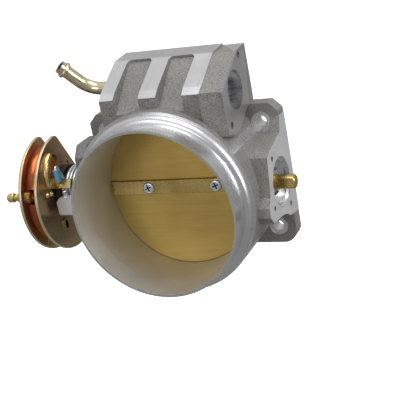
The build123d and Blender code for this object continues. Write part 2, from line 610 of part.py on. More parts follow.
with BuildPart() as inner_plate:
    extrude(pulley_profile(INNER_PLATE_X), amount=-PLATE_SHEET)
    rim = inner_plate.edges().filter_by(
        lambda edge: edge.geom_type == GeomType.CIRCLE and abs(edge.radius - PULLEY_R) < 0.01
    )
    fillet(rim, RIM_ROUND)
    # stop tab, bent out of the sheet towards the body
    with BuildSketch(around_shaft(INNER_PLATE_X - PLATE_SHEET)):
        with Locations(Location((0, 0), TAB_ANGLE)):
            with Locations((TAB_RADIUS + TAB_THICK / 2, 0)):
                Rectangle(TAB_THICK, TAB_WIDTH)
    extrude(amount=TAB_END_X - INNER_PLATE_X + PLATE_SHEET)
    # the opening the tab was cut from, above it
    with BuildSketch(around_shaft(INNER_PLATE_X + OVERCUT)):
        with Locations(Location((0, 0), TAB_ANGLE)):
            with Locations(WINDOW_CENTRE):
                RectangleRounded(WINDOW_WIDTH, WINDOW_LENGTH, WINDOW_CORNER_R)
    extrude(amount=-PLATE_SHEET - 2 * OVERCUT, mode=Mode.SUBTRACT)
    # drawn lip along the outer side of the opening
    with BuildLine() as lip_path:
        lip_arc = ThreePointArc(*[(LIP_X, SHAFT_Y + y, z) for y, z in LIP_POINTS])
    with BuildSketch(Plane(origin=lip_arc @ 0, z_dir=lip_arc % 0)):
        Circle(LIP_R)
    sweep(path=lip_path.line)
    # oblong drawn slot
    with BuildSketch(around_shaft(INNER_PLATE_X)):
        with Locations(SLOT_CENTRE):
            SlotOverall(*SLOT_LIP, rotation=SLOT_ANGLE)
    extrude(amount=SLOT_LIP_HEIGHT)
    with BuildSketch(around_shaft(INNER_PLATE_X + SLOT_LIP_HEIGHT + OVERCUT)):
        with Locations(SLOT_CENTRE):
            SlotOverall(*SLOT_HOLE, rotation=SLOT_ANGLE)
    extrude(amount=-PLATE_SHEET - SLOT_LIP_HEIGHT - 2 * OVERCUT, mode=Mode.SUBTRACT)
    # pilot hole and rivet holes
    with BuildSketch(around_shaft(INNER_PLATE_X + OVERCUT)):
        with Locations(PILOT_CENTRE):
            Circle(PILOT_R)
        with Locations(*[polar(RIVET_CIRCLE, angle) for angle in RIVET_ANGLES]):
            Circle(RIVET_R)
        with Locations(*BEAD_CENTRES):
            Circle(BEAD_R)
    extrude(amount=-PLATE_SHEET - 2 * OVERCUT, mode=Mode.SUBTRACT)
    extrude(key_profile(INNER_PLATE_X), amount=-PLATE_SHEET, mode=Mode.SUBTRACT)
save(inner_plate, "pulley_inner_plate")

with BuildPart() as drum:
    # grooved spacer that carries the cable; its flanks flare into the side plates
    with BuildSketch(Plane.XY):
        with BuildLine():
            Line((DRUM_X, SHAFT_Y), (DRUM_X, SHAFT_Y + DRUM_R + DRUM_FLARE))
            ThreePointArc(
                (DRUM_X, SHAFT_Y + DRUM_R + DRUM_FLARE),
                (DRUM_X - DRUM_WIDTH / 2, SHAFT_Y + DRUM_R),
                (OUTER_PLATE_X, SHAFT_Y + DRUM_R + DRUM_FLARE),
            )
            Polyline(
                (OUTER_PLATE_X, SHAFT_Y + DRUM_R + DRUM_FLARE), (OUTER_PLATE_X, SHAFT_Y), (DRUM_X, SHAFT_Y),
            )
        make_face()
    revolve(axis=Axis((0, SHAFT_Y, 0), (1, 0, 0)))
    with BuildSketch(around_shaft(DRUM_X + OVERCUT)):
        with Locations(Location((0, 0), CHORD_ANGLE)):
            with Locations((CHORD_DISTANCE + PULLEY_R, 0)):
                Rectangle(2 * PULLEY_R, 4 * PULLEY_R)
        with Locations(polar(STUD_CIRCLE, STUD_ANGLE)):
            Circle(STUD_SEAT_R)
    extrude(amount=-DRUM_WIDTH - 2 * OVERCUT, mode=Mode.SUBTRACT)
    with BuildSketch(around_shaft(DRUM_X + OVERCUT)):
        with Locations(*[polar(RIVET_CIRCLE, angle) for angle in RIVET_ANGLES]):
            Circle(RIVET_R)
    extrude(amount=-DRUM_WIDTH - 2 * OVERCUT, mode=Mode.SUBTRACT)
    extrude(key_profile(DRUM_X), amount=-DRUM_WIDTH, mode=Mode.SUBTRACT)
save(drum, "pulley_drum")

with BuildPart() as outer_plate:
    extrude(pulley_profile(OUTER_PLATE_X), amount=-PLATE_SHEET)
    rim = outer_plate.edges().filter_by(
        lambda edge: edge.geom_type == GeomType.CIRCLE and abs(edge.radius - PULLEY_R) < 0.01
    )
    fillet(rim, RIM_ROUND)
    # radial notch where the cable end drops in
    with BuildSketch(around_shaft(OUTER_PLATE_X + OVERCUT)):
        with Locations(Location((0, 0), NOTCH_ANGLE)):
            with Locations((PULLEY_R, 0)):
                Rectangle(NOTCH_LENGTH, NOTCH_WIDTH)
        with Locations(*[polar(RIVET_CIRCLE, angle) for angle in RIVET_ANGLES]):
            Circle(RIVET_R)
        with Locations(polar(STUD_CIRCLE, STUD_ANGLE)):
            Circle(STUD_SHANK_R)
    extrude(amount=-PLATE_SHEET - 2 * OVERCUT, mode=Mode.SUBTRACT)
    extrude(key_profile(OUTER_PLATE_X), amount=-PLATE_SHEET, mode=Mode.SUBTRACT)
save(outer_plate, "pulley_outer_plate")

with BuildPart() as rivets:
    # two through rivets, and two short ones in the inner plate
    with BuildSketch(around_shaft(OUTER_FACE_X)):
        with Locations(*[polar(RIVET_CIRCLE, angle) for angle in RIVET_ANGLES]):
            Circle(RIVET_R)
    extrude(amount=INNER_PLATE_X - OUTER_FACE_X)
    for angle in RIVET_ANGLES:
        with BuildSketch(around_shaft(INNER_PLATE_X)):
            with Locations(polar(RIVET_CIRCLE, angle)):
                Circle(RIVET_HEAD_R)
        extrude(amount=RIVET_HEAD_HEIGHT, taper=RIVET_HEAD_TAPER)
        with BuildSketch(around_shaft(OUTER_FACE_X)):
            with Locations(polar(RIVET_CIRCLE, angle)):
                Circle(RIVET_HEAD_R)
        extrude(amount=-RIVET_HEAD_HEIGHT, taper=RIVET_HEAD_TAPER)
    for centre in BEAD_CENTRES:
        with BuildSketch(around_shaft(DRUM_X)):
            with Locations(centre):
                Circle(BEAD_R)
        extrude(amount=PLATE_SHEET)
        with BuildSketch(around_shaft(INNER_PLATE_X)):
            with Locations(centre):
                Circle(BEAD_HEAD_R)
        extrude(amount=RIVET_HEAD_HEIGHT, taper=RIVET_HEAD_TAPER)
save(rivets, "pulley_rivets")

stud_offset = polar(STUD_CIRCLE, STUD_ANGLE)
stud_y = SHAFT_Y + stud_offset[0]
stud_z = stud_offset[1]
STUD_PROFILE = [
    (-1.2, 0), (-1.2, 1.4), (-2.0, 2.2), (-2.0, 3.0), (-0.9, 4.2), (0, 4.2), (0, STUD_SHANK_R),
    (PLATE_SHEET, STUD_SHANK_R), (PLATE_SHEET, 5.4), (PLATE_SHEET + 1.6, 5.4), (9.4, 1.9), (10.2, 1.9),
    (10.9, 2.9), (11.4, 3.1), (14.4, 3.1), (15.6, 2.4), (16.0, 1.4), (16.0, 0),
]
with BuildPart() as stud:
    # linkage stud swaged into the outer plate: radii against distance from the drum side
    with BuildSketch(Plane(origin=(OUTER_PLATE_X, stud_y, stud_z), x_dir=(-1, 0, 0), z_dir=(0, 0, 1))):
        with BuildLine():
            Polyline(*STUD_PROFILE, close=True)
        make_face()
    revolve(axis=Axis((OUTER_PLATE_X, stud_y, stud_z), (-1, 0, 0)))
save(stud, "linkage_stud")

WASHER_R = 8.0
WASHER_THICK = 1.5
with BuildPart() as pulley_washer:
    with BuildSketch(around_shaft(OUTER_FACE_X)):
        Circle(WASHER_R)
        Circle(HUB_END_R, mode=Mode.SUBTRACT)
    extrude(amount=-WASHER_THICK)
save(pulley_washer, "pulley_washer")

NUT_HALF_ACROSS = 6.5
NUT_HEIGHT = 5.0
NUT_CHAMFER = 0.6
with BuildPart() as pulley_nut:
    with BuildSketch(around_shaft(OUTER_FACE_X - WASHER_THICK)):
        RegularPolygon(NUT_HALF_ACROSS, 6, major_radius=False)
        Circle(HUB_END_R, mode=Mode.SUBTRACT)
    extrude(amount=-NUT_HEIGHT)
    chamfer(pulley_nut.edges().group_by(Axis.X)[0].filter_by(GeomType.LINE), NUT_CHAMFER)
save(pulley_nut, "pulley_nut")


# ---------------------------------------------------------------- return spring
BUSH_X = INNER_PLATE_X + 0.3
BUSH_R = 17.0
BUSH_FLANGE_WIDTH = 3.6
BUSH_SLEEVE_R = 14.6
BUSH_HOLE_R = 7.2
BUSH_END_GAP = 0.6
with BuildPart() as bush:
    # flanged spring guide pressed over the housing hub
    with BuildSketch(around_shaft(BUSH_X)):
        Circle(BUSH_R)
        Circle(BUSH_HOLE_R, mode=Mode.SUBTRACT)
    extrude(amount=BUSH_FLANGE_WIDTH)
    with BuildSketch(around_shaft(BUSH_X)):
        Circle(BUSH_SLEEVE_R)
        Circle(BUSH_HOLE_R, mode=Mode.SUBTRACT)
    extrude(amount=LEFT_WALL_X - BUSH_END_GAP - BUSH_X)
    with BuildSketch(around_shaft(HUB_X)):
        Circle(HUB_R)
    extrude(amount=THROUGH, mode=Mode.SUBTRACT)
save(bush, "spring_bush")

with BuildPart() as spring:
    # coil about the shaft, resting against the housing
    with BuildLine() as coil_path:
        Helix(
            pitch=SPRING_PITCH,
            height=SPRING_PITCH * SPRING_TURNS,
            radius=SPRING_R,
            center=(SPRING_START_X, SHAFT_Y, 0),
            direction=(-1, 0, 0),
        )
    with BuildSketch(Plane(origin=coil_path.line @ 0, z_dir=coil_path.line % 0)):
        Circle(WIRE_R)
    sweep(path=coil_path.line, is_frenet=True)
save(spring, "return_spring")

LEG_START = (-79.6, SHAFT_Y - 12.6, 13.4)
LEG_RISE = (-80.0, SHAFT_Y - 15.5, 22.0)
LEG_CORNER = (-78.5, SHAFT_Y - 19.4, 23.5)
LEG_BEND_R = 1.8
SLEEVE_TOP = (-78.5, SHAFT_Y - 19.4, 21.2)
SLEEVE_FOOT = (-78.5, SHAFT_Y - 19.3, 13.2)
SLEEVE_R = 2.05
SLEEVE_BORE_R = WIRE_R + 0.1
leg_end = Vector(SLEEVE_FOOT) - Vector(SLEEVE_TOP)
with BuildPart() as spring_leg:
    # moving leg of the return spring: leaves the coil, steps over the bush and bears on the tab
    with BuildLine() as leg_path:
        FilletPolyline(LEG_START, LEG_RISE, LEG_CORNER, SLEEVE_FOOT, radius=LEG_BEND_R)
    with BuildSketch(Plane(origin=leg_path.line @ 0, z_dir=leg_path.line % 0)):
        Circle(WIRE_R)
    sweep(path=leg_path.line)
save(spring_leg, "return_spring_leg")

with BuildPart() as sleeve:
    # plastic sleeve over the moving leg
    with BuildSketch(Plane(origin=SLEEVE_TOP, z_dir=leg_end.normalized())):
        Circle(SLEEVE_R)
        Circle(SLEEVE_BORE_R, mode=Mode.SUBTRACT)
    extrude(amount=leg_end.length)
save(sleeve, "spring_leg_sleeve")


# ---------------------------------------------------------------- idle stop screw
STOP_FOOT_Z = -7.5
STOP_TIP_ROUND = 0.8
STOP_SOCKET_HALF_ACROSS = 1.0
STOP_SOCKET_DEPTH = 2.2
with BuildPart() as stop_screw:
    # socket set screw standing up through the boss, domed where the tab rests on it
    with BuildSketch(Plane.XY.offset(STOP_FOOT_Z)):
        with Locations((STOP_X, STOP_Y)):
            Circle(STOP_THREAD_R)
    extrude(amount=STOP_TIP_Z - STOP_FOOT_Z)
    fillet(stop_screw.edges().group_by(Axis.Z)[-1], STOP_TIP_ROUND)
    with BuildSketch(Plane.XY.offset(STOP_FOOT_Z)):
        with Locations((STOP_X, STOP_Y)):
            RegularPolygon(STOP_SOCKET_HALF_ACROSS, 6, major_radius=False)
    extrude(amount=STOP_SOCKET_DEPTH, mode=Mode.SUBTRACT)
save(stop_screw, "idle_stop_screw")
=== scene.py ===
"""Studio picture of a cable-driven throttle body.

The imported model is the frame: +X along the throttle shaft towards the sensor pad, +Y from the
air inlet to the manifold flange, +Z up, origin in the flange face on the bore axis, metres.
"""
import json
from math import cos, hypot, radians, sin, tau

import bpy
from mathutils import Matrix, Vector


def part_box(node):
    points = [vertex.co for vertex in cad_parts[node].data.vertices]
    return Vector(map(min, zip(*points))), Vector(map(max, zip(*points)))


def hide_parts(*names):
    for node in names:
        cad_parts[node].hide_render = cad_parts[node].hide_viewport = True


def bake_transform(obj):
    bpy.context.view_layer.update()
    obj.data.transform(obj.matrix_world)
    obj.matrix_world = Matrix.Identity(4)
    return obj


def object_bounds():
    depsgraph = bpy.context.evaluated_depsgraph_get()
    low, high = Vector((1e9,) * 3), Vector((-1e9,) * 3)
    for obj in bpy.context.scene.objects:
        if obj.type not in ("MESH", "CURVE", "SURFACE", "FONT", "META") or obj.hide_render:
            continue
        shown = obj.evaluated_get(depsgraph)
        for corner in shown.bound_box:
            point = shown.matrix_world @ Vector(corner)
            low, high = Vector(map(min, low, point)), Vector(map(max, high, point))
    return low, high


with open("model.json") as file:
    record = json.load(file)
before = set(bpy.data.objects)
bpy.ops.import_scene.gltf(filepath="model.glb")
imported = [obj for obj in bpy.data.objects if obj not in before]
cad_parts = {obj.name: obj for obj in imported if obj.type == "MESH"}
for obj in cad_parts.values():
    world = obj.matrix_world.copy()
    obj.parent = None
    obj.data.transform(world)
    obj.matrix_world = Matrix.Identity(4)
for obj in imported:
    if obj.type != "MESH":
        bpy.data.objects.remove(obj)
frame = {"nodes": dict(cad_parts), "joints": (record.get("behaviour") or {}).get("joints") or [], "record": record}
cad_low, cad_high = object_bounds()
scene = bpy.context.scene
MM = 0.001

# ---------------------------------------------------------------- places read from the frame
shaft_joint = next(joint for joint in frame["joints"] if joint["name"] == "throttle_turn")
SHAFT_Y = shaft_joint["pos_m"][1]
mounts = {mount["name"]: mount for mount in frame["record"]["mounts"]}
COLLAR_R = mounts["inlet_collar"]["dims"]["r_mm"] * MM
bolts = mounts["manifold_bolts"]["dims"]
BOLT_X = bolts["spacing_x_mm"] * MM / 2
BOLT_Z = bolts["spacing_y_mm"] * MM / 2
INLET_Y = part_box("throttle_housing")[0].y
SENSOR_FACE_X = mounts["sensor_face"]["pos_m"][0]
VALVE_FACE_X = mounts["valve_face"]["pos_m"][0]
VALVE_CENTRE = Vector(mounts["valve_bore"]["pos_m"])
VALVE_BORE_R = mounts["valve_bore"]["dims"]["r_mm"] * MM
INNER_PLATE_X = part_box("pulley_inner_plate")[0].x
PULLEY_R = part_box("pulley_outer_plate")[1].z
PLATE_SCREWS_END_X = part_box("throttle_plate_screws")[1].x
coil_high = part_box("return_spring")[1]
leg_low, leg_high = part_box("return_spring_leg")


# ---------------------------------------------------------------- node helpers
NOISE_LOW, NOISE_HIGH = 0.3, 0.7


def ramp_node(tree, value, stops):
    """Colour ramp through (position, colour) stops."""
    node = tree.nodes.new("ShaderNodeValToRGB")
    elements = node.color_ramp.elements
    while len(elements) < len(stops):
        elements.new(0.5)
    for element, (position, colour) in zip(elements, stops):
        element.position = position
        element.color = (*colour, 1)
    tree.links.new(value, node.inputs["Fac"])
    return node.outputs["Color"]


def darker(colour, share):
    return tuple(part * share for part in colour)


class Surface:
    """A Principled material whose patterns are worked out in the object's own coordinates."""

    def __init__(self, name, metallic=0.0, roughness=0.5, specular=0.5):
        self.material = bpy.data.materials.new(name)
        self.material.use_nodes = True
        self.tree = self.material.node_tree
        self.shader = self.tree.nodes["Principled BSDF"]
        self.shader.inputs["Metallic"].default_value = metallic
        self.shader.inputs["Roughness"].default_value = roughness
        self.shader.inputs["Specular IOR Level"].default_value = specular
        self.place = self.tree.nodes.new("ShaderNodeTexCoord").outputs["Object"]

    def join(self, source, target):
        self.tree.links.new(source, target)

    def stretched(self, scale):
        """Object coordinates multiplied along each axis."""
        node = self.tree.nodes.new("ShaderNodeMapping")
        node.inputs["Scale"].default_value = scale
        self.join(self.place, node.inputs["Vector"])
        return node.outputs["Vector"]

    def noise(self, scale, detail=3.0, rough=0.55, stretch=(1, 1, 1), distortion=0.0):
        node = self.tree.nodes.new("ShaderNodeTexNoise")
        node.inputs["Scale"].default_value = scale
        node.inputs["Detail"].default_value = detail
        node.inputs["Roughness"].default_value = rough
        node.inputs["Distortion"].default_value = distortion
        self.join(self.stretched(stretch), node.inputs["Vector"])
        return node.outputs["Fac"]

    def ramp(self, value, stops):
        return ramp_node(self.tree, value, stops)

    def span(self, value, low, high):
        """A noise value spread over low to high."""
        node = self.tree.nodes.new("ShaderNodeMapRange")
        node.inputs["From Min"].default_value = NOISE_LOW
        node.inputs["From Max"].default_value = NOISE_HIGH
        node.inputs["To Min"].default_value = low
        node.inputs["To Max"].default_value = high
        self.join(value, node.inputs["Value"])
        return node.outputs["Result"]

    def mixed(self, amount, first, second, how="MIX"):
        """Two colours mixed by an amount; each of the three is a value, a colour or a socket."""
        node = self.tree.nodes.new("ShaderNodeMix")
        node.data_type = "RGBA"
        node.blend_type = how
        factor, colour_a, colour_b = node.inputs[0], node.inputs[6], node.inputs[7]
        for value, socket in ((amount, factor), (first, colour_a), (second, colour_b)):
            if isinstance(value, (float, int)):
                socket.default_value = value
            elif isinstance(value, tuple):
                socket.default_value = (*value, 1)
            else:
                self.join(value, socket)
        return node.outputs[2]

    def colour(self, value):
        if isinstance(value, tuple):
            self.shader.inputs["Base Color"].default_value = (*value, 1)
        else:
            self.join(value, self.shader.inputs["Base Color"])

    def rough(self, value):
        self.join(value, self.shader.inputs["Roughness"])

    def drifting(self, cloud, dark, light, grain, rough_low, rough_high):
        """Two tints that drift with the cloud, and a gloss that follows the grain."""
        self.colour(self.mixed(self.span(cloud, 0.0, 1.0), dark, light))
        self.rough(self.span(grain, rough_low, rough_high))

    def bumps(self, *layers):
        """Bump layers as (height, depth in metres, strength), each over the one before."""
        below = None
        for height, depth, strength in layers:
            node = self.tree.nodes.new("ShaderNodeBump")
            node.inputs["Distance"].default_value = depth
            node.inputs["Strength"].default_value = strength
            self.join(height, node.inputs["Height"])
            if below:
                self.join(below, node.inputs["Normal"])
            below = node.outputs["Normal"]
        self.join(below, self.shader.inputs["Normal"])


# ---------------------------------------------------------------- materials
def cast_skin():
    """Sand-cast aluminium: grey, grainy, slightly mottled."""
    s = Surface("cast_aluminium_skin", metallic=0.62, roughness=0.6)
    grain = s.noise(1700, detail=4, rough=0.75)
    cloud = s.noise(55, detail=3)
    fine = s.ramp(grain, [(0.38, (0.13, 0.127, 0.12)), (0.62, (0.46, 0.45, 0.43))])
    tint = s.ramp(cloud, [(0.3, (0.84, 0.84, 0.85)), (0.7, (1.0, 0.99, 0.97))])
    s.colour(s.mixed(1.0, fine, tint, "MULTIPLY"))
    s.rough(s.span(grain, 0.5, 0.68))
    s.bumps((cloud, 0.6 * MM, 0.35), (grain, 0.24 * MM, 0.9))
    return s.material


def machined(name, colour, rough_low, rough_high, stretch, line_depth=0.02 * MM):
    """Cut aluminium with tool lines that run along the axes of the smaller stretch."""
    s = Surface(name, metallic=1.0)
    lines = s.noise(1.0, detail=4, rough=0.7, stretch=stretch)
    smear = s.noise(38, detail=3)
    s.drifting(smear, darker(colour, 0.86), colour, lines, rough_low, rough_high)
    s.bumps((smear, 0.12 * MM, 0.2), (lines, line_depth, 0.5))
    return s.material


def plate_face():
    """Rolled brass-coloured plate: satin, with faint rolling lines along the shaft."""
    s = Surface("throttle_plate_satin", metallic=0.9)
    lines = s.noise(1.0, detail=5, rough=0.75, stretch=(28, 600, 1500))
    cloud = s.noise(42, detail=2)
    lined = s.ramp(lines, [(0.25, (0.49, 0.325, 0.09)), (0.75, (0.64, 0.435, 0.135))])
    warm = s.ramp(cloud, [(0.3, (0.86, 0.88, 0.84)), (0.7, (1.0, 1.0, 1.0))])
    s.colour(s.mixed(1.0, lined, warm, "MULTIPLY"))
    s.rough(s.span(lines, 0.32, 0.42))
    s.bumps((lines, 0.03 * MM, 0.4))
    return s.material


def gold_steel(name, light, dark, rough_low, rough_high):
    """Passivated steel shaft: ground, with tool lines round it."""
    s = Surface(name, metallic=1.0)
    lines = s.noise(1.0, detail=4, rough=0.7, stretch=(1800, 160, 160))
    cloud = s.noise(90, detail=3)
    s.drifting(cloud, dark, light, lines, rough_low, rough_high)
    s.bumps((lines, 0.02 * MM, 0.4))
    return s.material


def dichromate(name, stops, rough_low=0.24, rough_high=0.38, scale=34):
    """Zinc dichromate plating: drifting copper, gold and green tints over pressed steel."""
    s = Surface(name, metallic=0.95)
    drift = s.noise(scale, detail=3, rough=0.5, distortion=0.6)
    grain = s.noise(900, detail=3, rough=0.6)
    tint = s.ramp(drift, stops)
    shade = s.ramp(grain, [(0.3, (0.88, 0.88, 0.88)), (0.7, (1.0, 1.0, 1.0))])
    s.colour(s.mixed(1.0, tint, shade, "MULTIPLY"))
    s.rough(s.span(grain, rough_low, rough_high))
    s.bumps((drift, 0.4 * MM, 0.25), (grain, 0.03 * MM, 0.4))
    return s.material


def bright_metal(name, colour, rough_low, rough_high):
    """Bright plated or ground metal with a little wear in its gloss."""
    s = Surface(name, metallic=1.0)
    grain = s.noise(700, detail=3)
    cloud = s.noise(120, detail=2)
    s.drifting(cloud, darker(colour, 0.8), colour, grain, rough_low, rough_high)
    s.bumps((grain, 0.02 * MM, 0.4))
    return s.material


def moulded(name, colour, rough_low, rough_high):
    """Moulded plastic or rubber with a faint texture."""
    s = Surface(name)
    grain = s.noise(1400, detail=2)
    cloud = s.noise(150, detail=2)
    s.drifting(cloud, darker(colour, 0.75), colour, grain, rough_low, rough_high)
    s.bumps((grain, 0.03 * MM, 0.4))
    return s.material


CAST = cast_skin()
TURNED = machined("turned_aluminium", (0.82, 0.82, 0.83), 0.2, 0.32, (40, 2600, 40))
BORE = machined("bored_aluminium", (0.84, 0.84, 0.83), 0.46, 0.62, (260, 1500, 260), 0.14 * MM)
MILLED = machined("milled_aluminium", (0.70, 0.70, 0.71), 0.26, 0.42, (900, 60, 60), 0.06 * MM)
PAD = machined("faced_aluminium", (0.96, 0.96, 0.96), 0.45, 0.58, (200, 700, 200))
BRASS_PLATE = plate_face()
SHAFT = gold_steel("shaft_gold", (0.62, 0.45, 0.17), (0.46, 0.32, 0.11), 0.22, 0.32)
FACE_TINTS = [
    (0.25, (0.46, 0.25, 0.14)),
    (0.45, (0.58, 0.35, 0.21)),
    (0.62, (0.48, 0.37, 0.20)),
    (0.8, (0.66, 0.35, 0.27)),
]
RIM_TINTS = [(0.3, (0.74, 0.63, 0.36)), (0.7, (0.84, 0.75, 0.50))]
# Groove tints for the pulley drum: a red-brown plating tint, darkened further as painted shade of the deep groove
# between the pulley plates.
GROOVE_TINTS_AND_SHADE = [(0.3, (0.34, 0.06, 0.025)), (0.7, (0.62, 0.20, 0.055))]
ZINC_TINTS = [(0.3, (0.72, 0.56, 0.20)), (0.7, (0.86, 0.74, 0.36))]
PIPE_TINTS = [(0.3, (0.66, 0.58, 0.34)), (0.7, (0.84, 0.78, 0.56))]
PULLEY_FACE = dichromate("pulley_face_copper", FACE_TINTS)
PULLEY_RIM = dichromate("pulley_rim_gold", RIM_TINTS, 0.28, 0.4)
GROOVE = dichromate("pulley_groove_copper_and_shade", GROOVE_TINTS_AND_SHADE, 0.18, 0.3)
GOLD_ZINC = dichromate("gold_zinc", ZINC_TINTS, 0.18, 0.3, scale=120)
PIPE = dichromate("pipe_gold", PIPE_TINTS, 0.12, 0.2, scale=60)
ZINC = bright_metal("bright_zinc", (0.72, 0.78, 0.84), 0.18, 0.3)
SPRING = bright_metal("spring_wire", (0.74, 0.74, 0.75), 0.24, 0.36)
RACE = bright_metal("bearing_race", (0.62, 0.62, 0.63), 0.16, 0.28)
NYLON = moulded("black_nylon", (0.022, 0.022, 0.024), 0.36, 0.5)
SEAL = moulded("seal_rubber", (0.03, 0.03, 0.03), 0.5, 0.65)
SLEEVE = moulded("blue_sleeve", (0.13, 0.42, 0.66), 0.3, 0.42)
RECESS = moulded("screw_recess_shadow", (0.03, 0.035, 0.04), 0.4, 0.6)


# ---------------------------------------------------------------- finish of the CAD nodes
def smooth(piece, angle=32):
    """Round faces shade smooth, edges sharper than the angle stay crisp."""
    piece.data.shade_smooth()
    piece.data.set_sharp_from_angle(angle=radians(angle))


def paint(node, materials, choose=None):
    """Gives a CAD node its materials; choose(centre, normal) says which one a face takes."""
    piece = frame["nodes"][node]
    piece.data.materials.clear()
    for material in materials:
        piece.data.materials.append(material)
    for face in piece.data.polygons:
        face.material_index = choose(face.center, face.normal) if choose else 0
    smooth(piece)


# How far a face's centre may lie from a plane or a round wall and still belong to it. A value that
# ends in MATCH is a cosine between a face's normal and the direction that it is tested against.
ON_PLANE = 0.05 * MM
ON_WALL = 0.1 * MM

# the housing's cuts, where the frame's mounts don't say where they are
HOUSING_MATERIALS = [CAST, TURNED, BORE, MILLED, PAD]
SKIN, LATHE, BORED, MILL, FACED = range(len(HOUSING_MATERIALS))
BORE_SIDE_R = COLLAR_R - 0.6 * MM
SHOULDER_Y = INLET_Y + 19 * MM
SHOULDER_R = 59 * MM
BOLT_SEAT_R = 6.2 * MM
BOLT_SEAT_Y = -9.7 * MM
SEAT_SIDE_MATCH = 0.5
SENSOR_RECESS_X = 50 * MM
SENSOR_RECESS_R = 15.8 * MM
VALVE_FACE_BOTTOM_Z = 30 * MM
VALVE_BORE_END_X = 26 * MM
SLOPE = Vector((0, -13.3, 26.0)).normalized()
SLOPE_BOTTOM_Z = 60 * MM
SLOPE_END_X = 34 * MM
SLOPE_MATCH = 0.9985
TOE = Vector((0, -3.5, 4.5)).normalized()
TOE_Y = -43 * MM
TOE_BOTTOM_Z = 65 * MM
TOE_MATCH = 0.99
TOP_FACE_Z = 82 * MM
TOP_FACE_MATCH = 0.95
STOP_BOSS_X = -60 * MM
STOP_BOSS_Y = (-47.2 * MM, -40 * MM)
STOP_BOSS_HALF_Z = 9 * MM

# the pulley's plates
PULLEY_MATERIALS = [PULLEY_FACE, PULLEY_RIM, GOLD_ZINC]
FLAT, RIM, DRAWN = range(len(PULLEY_MATERIALS))
SHEET = 2.2 * MM
DRAWN_X = INNER_PLATE_X + SHEET + 0.3 * MM
RIM_INNER_R = PULLEY_R - 0.8 * MM
FLAT_MATCH = 0.99

# the two screws, square to the closed throttle plate
PLATE_TILT = radians(6)
PLATE_NORMAL = Vector((0, -cos(PLATE_TILT), sin(PLATE_TILT)))
SCREW_HEAD_R = 3.85 * MM
SCREW_X = PLATE_SCREWS_END_X - SCREW_HEAD_R
RECESS_FLOOR = 3.2 * MM
RECESS_TOP = 4.4 * MM
RECESS_R = 2.4 * MM


def housing_finish(centre, normal):
    """Which cut or cast finish a face of the housing has; the first rule that fits it holds."""
    x, y, z = centre
    bore_r = hypot(x, z)
    bolt_r = hypot(abs(x) - BOLT_X, abs(z) - BOLT_Z)
    shaft_r = hypot(y - SHAFT_Y, z)
    valve_r = hypot(y - VALVE_CENTRE.y, z - VALVE_CENTRE.z)
    if bore_r < BORE_SIDE_R and y > INLET_Y + ON_WALL:
        return BORED
    if bore_r < SHOULDER_R + ON_WALL and y < SHOULDER_Y + ON_WALL:
        return LATHE
    if y > -ON_PLANE:
        return MILL
    if bolt_r < BOLT_SEAT_R and (y > BOLT_SEAT_Y or abs(normal.y) < SEAT_SIDE_MATCH):
        return LATHE
    if x > SENSOR_FACE_X - ON_PLANE:
        return FACED
    if x > SENSOR_RECESS_X and shaft_r < SENSOR_RECESS_R:
        return LATHE
    if abs(x - VALVE_FACE_X) < ON_PLANE and z > VALVE_FACE_BOTTOM_Z:
        return MILL
    if x > VALVE_BORE_END_X and valve_r < VALVE_BORE_R + ON_WALL:
        return LATHE
    if z > SLOPE_BOTTOM_Z and x < SLOPE_END_X and normal.dot(SLOPE) > SLOPE_MATCH:
        return MILL
    if y < TOE_Y and z > TOE_BOTTOM_Z and normal.dot(TOE) > TOE_MATCH:
        return MILL
    if z > TOP_FACE_Z and normal.z > TOP_FACE_MATCH:
        return MILL
    if x < STOP_BOSS_X and STOP_BOSS_Y[0] < y < STOP_BOSS_Y[1] and abs(z) < STOP_BOSS_HALF_Z:
        return FACED
    return SKIN


def pulley_finish(centre, normal):
    """Plated face, the paler rounded rim, or the bright drawn lip and stop tab."""
    radius = hypot(centre.y - SHAFT_Y, centre.z)
    if centre.x > DRAWN_X:
        return DRAWN
    return RIM if radius > RIM_INNER_R and abs(normal.x) < FLAT_MATCH else FLAT


def screw_finish(centre, normal):
    """Zinc (0), or the shadowed cross recess in a screw's head (1)."""
    height = (centre - Vector((0, SHAFT_Y, 0))).dot(PLATE_NORMAL)
    along = centre.z * cos(PLATE_TILT) + (centre.y - SHAFT_Y) * sin(PLATE_TILT)
    radius = hypot(abs(centre.x) - SCREW_X, along)
    return int(RECESS_FLOOR - ON_WALL < height < RECESS_TOP and radius < RECESS_R)


paint("throttle_housing", HOUSING_MATERIALS, housing_finish)
for plate in ("pulley_inner_plate", "pulley_outer_plate"):
    paint(plate, PULLEY_MATERIALS, pulley_finish)
paint("pulley_drum", [GROOVE])
for part in ("pulley_rivets", "linkage_stud", "pulley_nut", "pulley_washer"):
    paint(part, [GOLD_ZINC])
paint("throttle_plate", [BRASS_PLATE])
paint("throttle_shaft", [SHAFT])
paint("throttle_plate_screws", [ZINC, RECESS], screw_finish)
paint("idle_stop_screw", [ZINC])
paint("hose_pipe", [PIPE])
for end in ("sensor_side", "pulley_side"):
    for part in ("outer_race", "inner_race", "balls"):
        paint(f"{end}_bearing_{part}", [RACE])
    paint(f"{end}_bearing_seal", [SEAL])
paint("spring_bush", [NYLON])
paint("shaft_retaining_clip", [SPRING])
paint("spring_leg_sleeve", [SLEEVE])


# ---------------------------------------------------------------- return spring
WIRE_R = 1.1 * MM
COIL_R = coil_high.z - WIRE_R
COIL_TURNS = 3.5
COIL_END_ANGLE = radians(141)
COIL_START_X = coil_high.x - WIRE_R
COIL_END_X = leg_low.x + WIRE_R + 0.4 * MM
COIL_STEPS = 160
TAIL_TURN = radians(7)
TAIL_REACHES = (2.4 * MM, 1.0 * MM)
